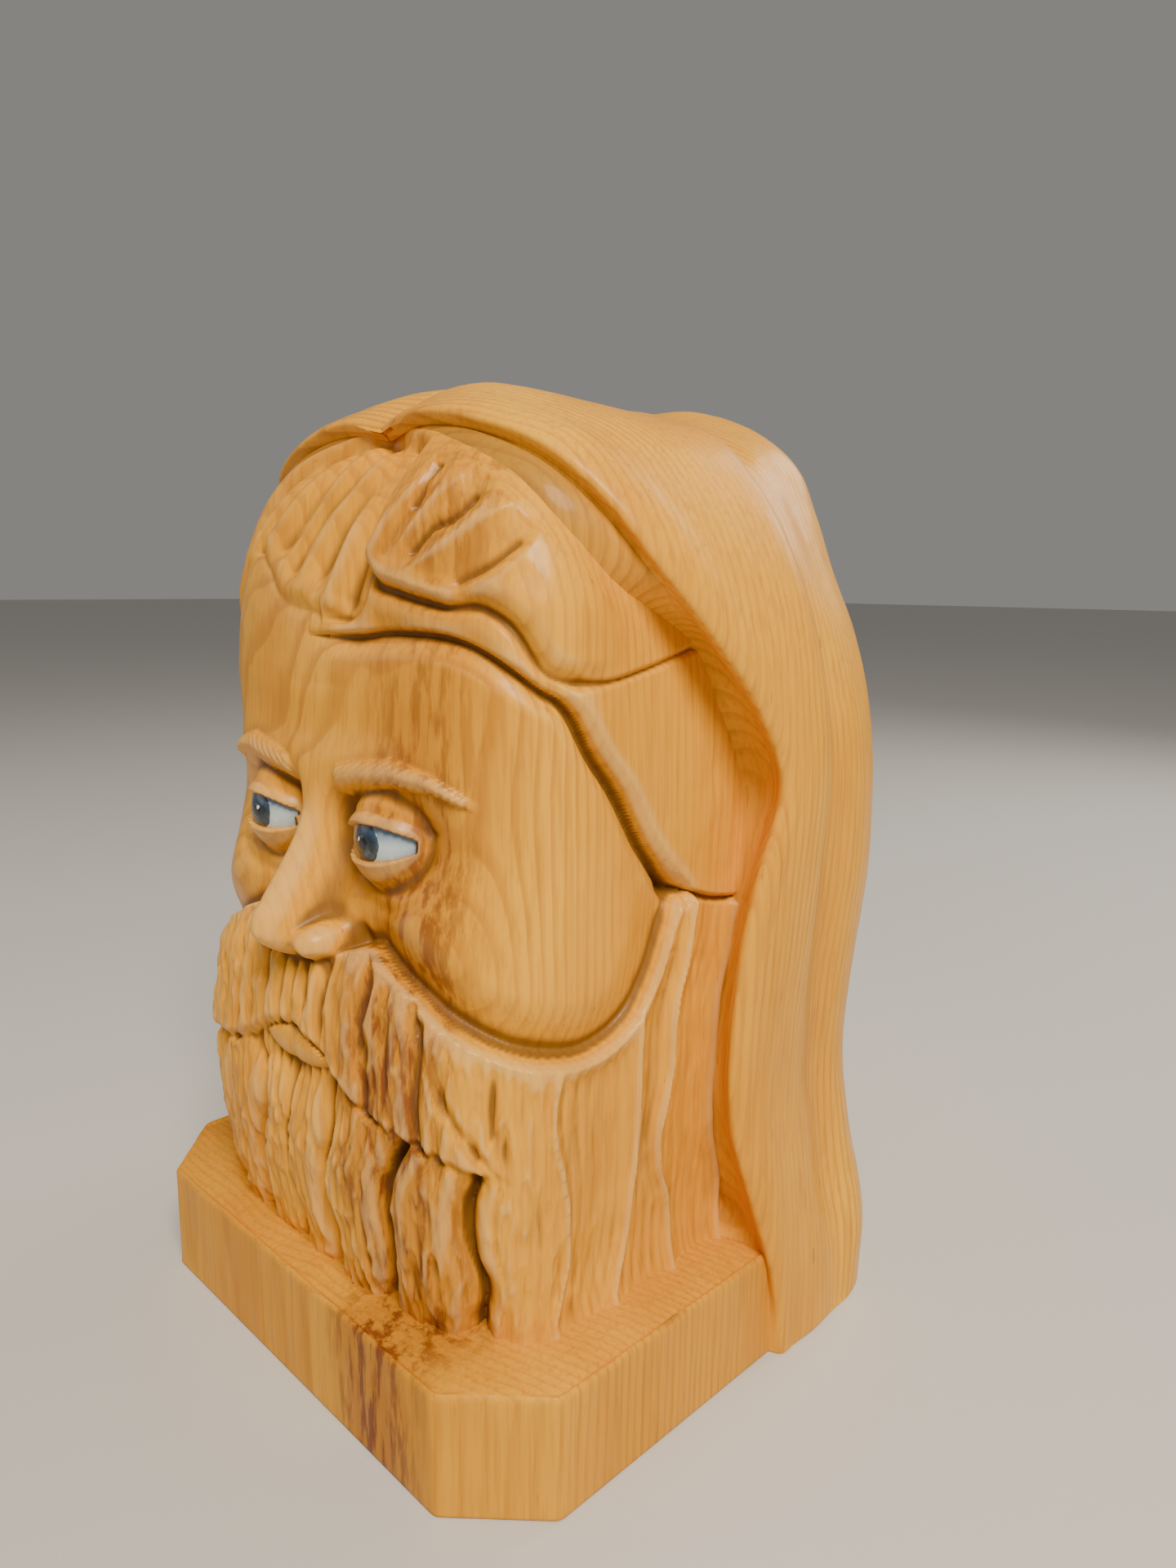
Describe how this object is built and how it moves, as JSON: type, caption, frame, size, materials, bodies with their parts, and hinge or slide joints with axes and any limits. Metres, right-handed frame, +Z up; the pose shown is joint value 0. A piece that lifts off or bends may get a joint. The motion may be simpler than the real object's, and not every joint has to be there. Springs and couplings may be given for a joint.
{
  "type": "carved wooden bust",
  "caption": "Free-standing varnished wooden bust: a bearded head with painted eyes in a hood, on a chamfered plinth with a flat base.",
  "frame": {"origin": "middle of the base, on the surface that the bust stands on", "axes": "+Z up, the face looks to -Y, +X is the figure's own left"},
  "size_m": [0.1584, 0.138, 0.2269],
  "materials": {
    "block_wood": "varnished softwood, hand-cut, satin gloss",
    "hood_wood": "varnished softwood, smooth, satin gloss",
    "face_wood": "varnished softwood, sanded smooth, gloss",
    "hair_wood": "varnished softwood, gouge-cut strands",
    "eye_white_paint": "bluish white paint over wood, gloss",
    "iris_paint": "grey-blue paint over wood, gloss",
    "pupil_paint": "black paint over wood, gloss"
  },
  "bodies": {
    "root": {"plinth": "block_wood", "hood": "hood_wood", "hood_rim_left": "hood_wood", "hood_rim_right": "hood_wood", "face": "face_wood", "lower_lip": "face_wood", "eyebrow_left": "hair_wood", "eyebrow_right": "hair_wood", "eye_white_left": "eye_white_paint", "eye_white_right": "eye_white_paint", "iris_left": "iris_paint", "iris_right": "iris_paint", "pupil_left": "pupil_paint", "pupil_right": "pupil_paint", "moustache_left": "hair_wood", "moustache_right": "hair_wood", "beard": "hair_wood", "fringe_left": "hair_wood", "fringe_right": "hair_wood", "side_hair_left": "hair_wood", "side_hair_right": "hair_wood"}
  },
  "joints": []
}
